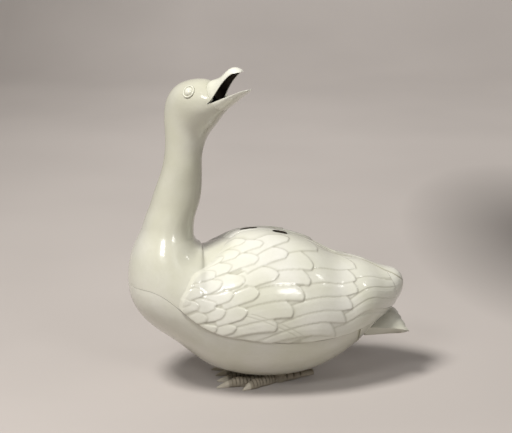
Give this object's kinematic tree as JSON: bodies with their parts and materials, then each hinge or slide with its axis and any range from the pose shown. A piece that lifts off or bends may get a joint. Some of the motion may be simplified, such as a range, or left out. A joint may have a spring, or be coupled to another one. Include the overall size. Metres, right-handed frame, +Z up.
{
  "type": "incense burner",
  "caption": "Goose-shaped porcelain incense burner: the back, wings, neck and open-billed head lift off a footed bowl that holds the incense.",
  "frame": {"origin": "on the floor, under the middle of the whole goose's box", "axes": "+Z up, -X toward the breast, +X toward the tail, -Y the goose's left"},
  "size_m": [0.2427, 0.1246, 0.2821],
  "materials": {
    "glaze": "glossy pale green-white glaze",
    "bare_rim": "unglazed pale porcelain",
    "biscuit": "unglazed grey-beige biscuit"
  },
  "bodies": {
    "base": {"bowl": "glaze", "bowl_flange": "bare_rim", "tail": "glaze", "left_leg": "biscuit", "left_tarsus": "biscuit", "left_outer_toe": "biscuit", "left_middle_toe": "biscuit", "left_inner_toe": "biscuit", "left_web": "biscuit", "right_leg": "biscuit", "right_tarsus": "biscuit", "right_outer_toe": "biscuit", "right_middle_toe": "biscuit", "right_inner_toe": "biscuit", "right_web": "biscuit"},
    "cover": {"cover_shell": "glaze", "cover_breast": "glaze", "neck": "glaze", "head": "glaze", "upper_bill": "glaze", "lower_bill": "glaze", "left_eye_ring": "glaze", "left_eye": "glaze", "right_eye_ring": "glaze", "right_eye": "glaze", "left_lesser_coverts": "glaze", "left_greater_coverts": "glaze", "left_secondaries": "glaze", "left_primaries": "glaze", "right_lesser_coverts": "glaze", "right_greater_coverts": "glaze", "right_secondaries": "glaze", "right_primaries": "glaze"}
  },
  "joints": [
    {"name": "cover_lift", "type": "slide", "parent": "base", "child": "cover", "axis": [0, 0, 1], "range_m": [0, 0.08]}
  ]
}
